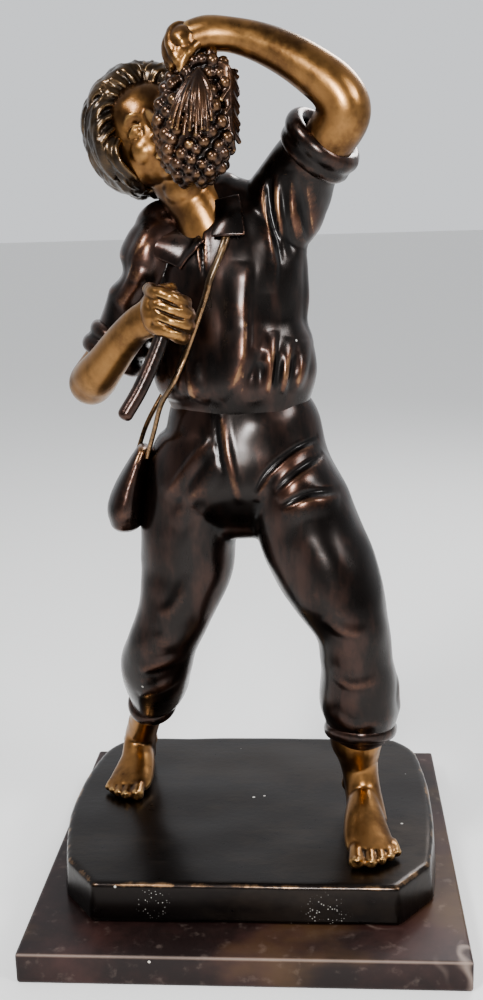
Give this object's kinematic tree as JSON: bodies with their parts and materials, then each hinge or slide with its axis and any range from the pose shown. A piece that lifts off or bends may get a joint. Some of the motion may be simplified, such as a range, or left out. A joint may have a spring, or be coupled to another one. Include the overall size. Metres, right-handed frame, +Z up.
{
  "type": "grape harvester statue",
  "caption": "Cast bronze boy in rolled breeches eating grapes from his raised hand, a stick and a shoulder bag with him, standing on a dark marble slab.",
  "frame": {"origin": "centre of the marble slab's underside, the face the statue rests on", "axes": "+Z up, the figure faces -Y towards the viewer, +X is the viewer's right"},
  "size_m": [0.25, 0.25, 0.5116],
  "materials": {
    "dark_bronze": "cast bronze under a dark brown patina, golden brown on the bare skin, satin to glossy",
    "dark_marble": "polished dark red-brown marble with pale veins"
  },
  "bodies": {
    "root": {"bronze_figure": "dark_bronze", "marble_slab": "dark_marble"}
  },
  "joints": []
}
